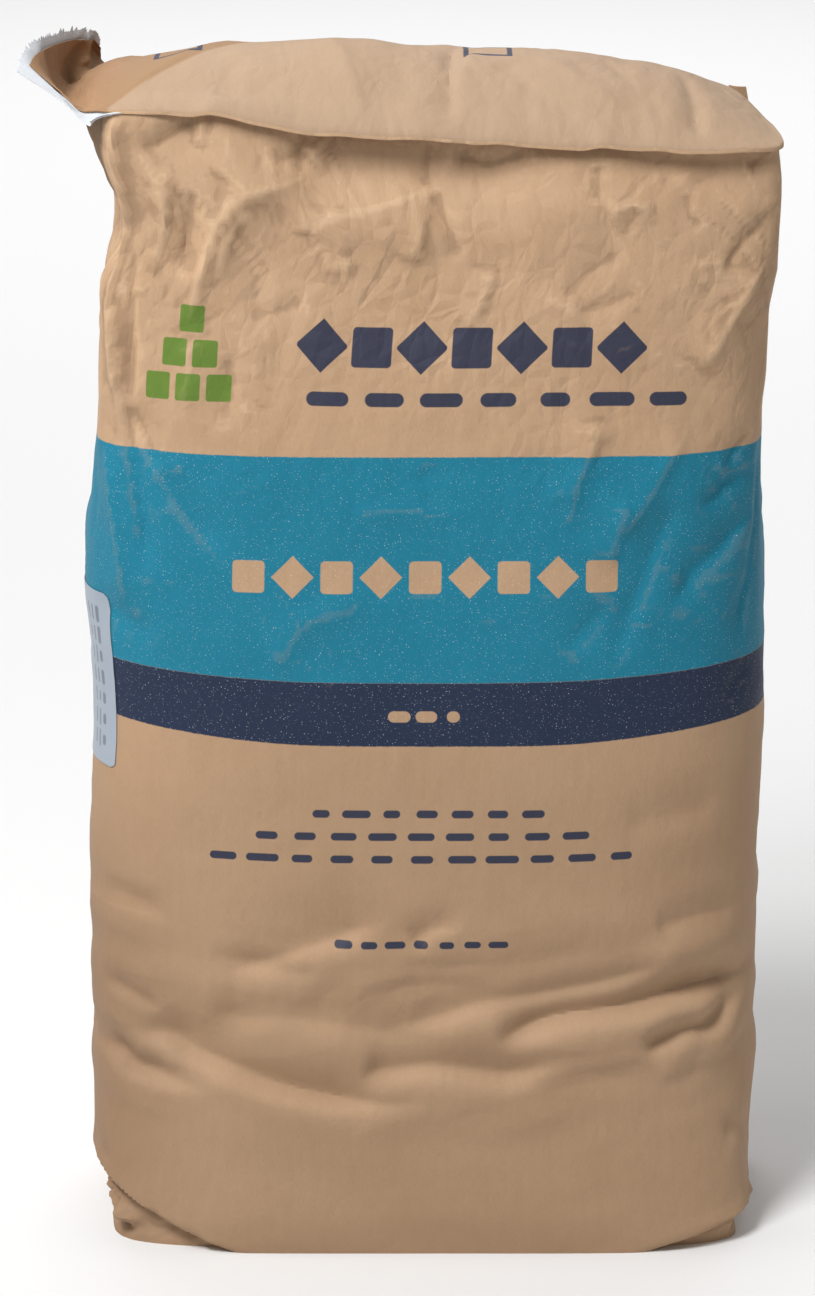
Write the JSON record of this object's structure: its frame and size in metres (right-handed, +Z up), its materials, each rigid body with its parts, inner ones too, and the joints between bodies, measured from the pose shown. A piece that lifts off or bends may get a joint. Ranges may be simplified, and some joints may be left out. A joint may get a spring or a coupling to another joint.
{
  "type": "bag of sugar",
  "caption": "Filled upright paper valve sack of sugar with colour bands, a domed top panel, an open two-ply valve sleeve at one top corner and a label on its side.",
  "frame": {"origin": "on the floor under the middle of the sack, where its flat bottom rests", "axes": "+Z up, the printed front faces -Y, the valve is at the -X end of the top"},
  "size_m": [0.4349, 0.1944, 0.725],
  "materials": {
    "kraft_paper": "matte uncoated kraft paper with printed colour bands",
    "sleeve_kraft": "matte uncoated kraft paper, slightly darker",
    "white_ply": "smooth white inner ply",
    "label_stock": "satin self-adhesive label"
  },
  "bodies": {
    "root": {"sack_body": "kraft_paper", "valve_sleeve": "sleeve_kraft", "valve_lining": "white_ply", "side_label": "label_stock"}
  },
  "joints": []
}
